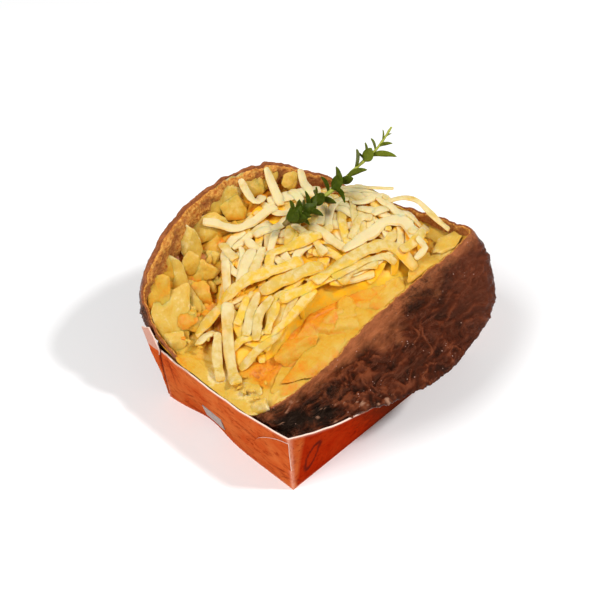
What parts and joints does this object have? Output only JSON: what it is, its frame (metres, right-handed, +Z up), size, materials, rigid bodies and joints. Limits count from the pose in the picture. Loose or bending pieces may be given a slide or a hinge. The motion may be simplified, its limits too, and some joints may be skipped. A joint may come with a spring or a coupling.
{
  "type": "baked potato",
  "caption": "Split baked potato in a folded paper case, filled with fluffed buttery flesh and topped with grated cheese and a sprig of thyme.",
  "frame": {"origin": "middle of the underside of the paper case's floor", "axes": "+X along the potato's long axis, from the low near end of the split to the rounded far end; +Y towards the tall opened half of the skin; +Z up"},
  "size_m": [0.1138, 0.1019, 0.0766],
  "materials": {
    "case_paper": "orange coated paperboard with white cut edges",
    "potato_skin": "wrinkled oily baked skin, charred in places",
    "potato_flesh": "fluffed flesh soaked with butter",
    "cheese": "soft grated cheese, half melted",
    "herb": "fresh thyme leaves and stem"
  },
  "bodies": {
    "root": {"paper_case": "case_paper", "potato": "potato_skin", "cheese_heap": "cheese", "thyme_sprig": "herb"}
  },
  "joints": []
}
